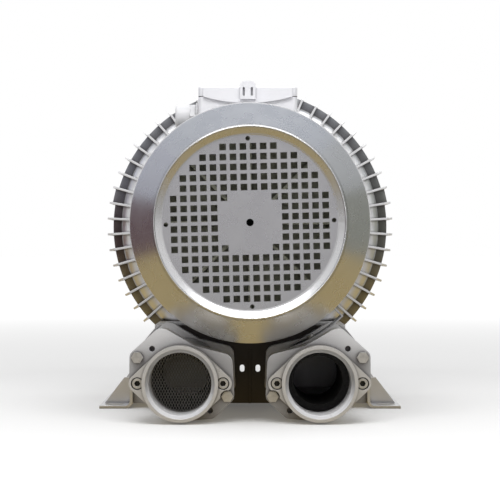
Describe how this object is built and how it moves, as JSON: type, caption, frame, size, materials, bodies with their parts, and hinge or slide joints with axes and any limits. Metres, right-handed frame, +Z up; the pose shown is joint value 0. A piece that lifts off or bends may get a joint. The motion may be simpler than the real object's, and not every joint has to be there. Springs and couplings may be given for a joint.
{
  "type": "side channel blower",
  "caption": "Direct-driven side channel blower with finned annular casing, perforated fan cowl, terminal box, silenced inlet and outlet ports, and slotted sheet feet.",
  "frame": {"origin": "centre of the four foot slots, on the ground under the feet", "axes": "+X to the right seen from the fan end, +Y along the rotor axis from the fan end to the impeller end, +Z up"},
  "size_m": [0.312, 0.318, 0.3425],
  "materials": {
    "cast_paint": "silver paint on cast aluminium, satin gloss",
    "motor_paint": "silver paint on extruded and cast aluminium",
    "cowl_paint": "glossy silver paint on pressed steel sheet",
    "box_paint": "silver paint on die-cast aluminium",
    "port_metal": "machined cast aluminium",
    "foot_paint": "silver paint on bent steel sheet",
    "screw_steel": "zinc plated steel",
    "shaft_steel": "ground steel",
    "bearing_steel": "hardened and ground bearing steel",
    "cage_plastic": "moulded polyamide",
    "lamination": "stacked electrical steel",
    "copper": "varnished copper winding",
    "raw_aluminium": "as-cast aluminium",
    "fan_plastic": "moulded glass-filled plastic",
    "gland_plastic": "moulded grey polyamide",
    "board_plastic": "moulded thermoset",
    "seal_rubber": "nitrile rubber",
    "gasket_fibre": "compressed fibre sheet",
    "lining_foam": "open-cell sound absorbing foam",
    "guard_mesh": "woven steel wire mesh"
  },
  "bodies": {
    "housing": {"air_guide": "cowl_paint", "air_guide_screw": "screw_steel", "bearing_retainer": "screw_steel", "cable_gland": "gland_plastic", "casing_body": "cast_paint", "casing_cover": "cast_paint", "casing_gasket": "gasket_fibre", "casing_screws": "screw_steel", "cowl_screws": "screw_steel", "drive_bearing_outer_ring": "bearing_steel", "duct_block": "cast_paint", "end_shield": "motor_paint", "end_shield_screws": "screw_steel", "fan_bearing_outer_ring": "bearing_steel", "fan_cowl": "cowl_paint", "foot_bracket_left": "foot_paint", "foot_bracket_right": "foot_paint", "foot_screws": "screw_steel", "gland_locknut": "gland_plastic", "gland_nut": "gland_plastic", "inlet_guard": "guard_mesh", "lid_screws": "screw_steel", "motor_housing": "motor_paint", "motor_screws": "screw_steel", "port_flange_left": "port_metal", "port_flange_right": "port_metal", "port_gaskets": "seal_rubber", "port_screws": "screw_steel", "preload_spring": "screw_steel", "retainer_screws": "screw_steel", "shaft_seal": "seal_rubber", "silencer_bolts": "screw_steel", "silencer_gaskets": "gasket_fibre", "silencer_housing_left": "cast_paint", "silencer_housing_right": "cast_paint", "silencer_lining_left": "lining_foam", "silencer_lining_right": "lining_foam", "silencer_plate_left": "cast_paint", "silencer_plate_right": "cast_paint", "stator_core": "lamination", "stator_winding": "copper", "terminal_board": "board_plastic", "terminal_box": "box_paint", "terminal_box_gasket": "seal_rubber", "terminal_box_lid": "box_paint"},
    "rotor": {"shaft": "shaft_steel", "rotor_core": "lamination", "rotor_cage_rings": "raw_aluminium", "cooling_fan": "fan_plastic", "fan_circlip": "screw_steel", "impeller": "raw_aluminium", "impeller_key": "screw_steel", "impeller_washer": "screw_steel", "impeller_nut": "screw_steel", "fan_bearing_inner_ring": "bearing_steel", "drive_bearing_inner_ring": "bearing_steel"},
    "ball_sets": {"fan_bearing_balls": "bearing_steel", "fan_bearing_cage": "cage_plastic", "drive_bearing_balls": "bearing_steel", "drive_bearing_cage": "cage_plastic"}
  },
  "joints": [
    {"name": "rotor_spin", "type": "hinge", "parent": "housing", "child": "rotor", "pos_m": [0, 0, 0.19], "axis": [0, 1, 0], "continuous": true},
    {"name": "ball_spin", "type": "hinge", "parent": "housing", "child": "ball_sets", "pos_m": [0, 0, 0.19], "axis": [0, 1, 0], "continuous": true}
  ],
  "couplings": [
    {"joint": "ball_spin", "follows": "rotor_spin", "ratio": 0.395}
  ]
}
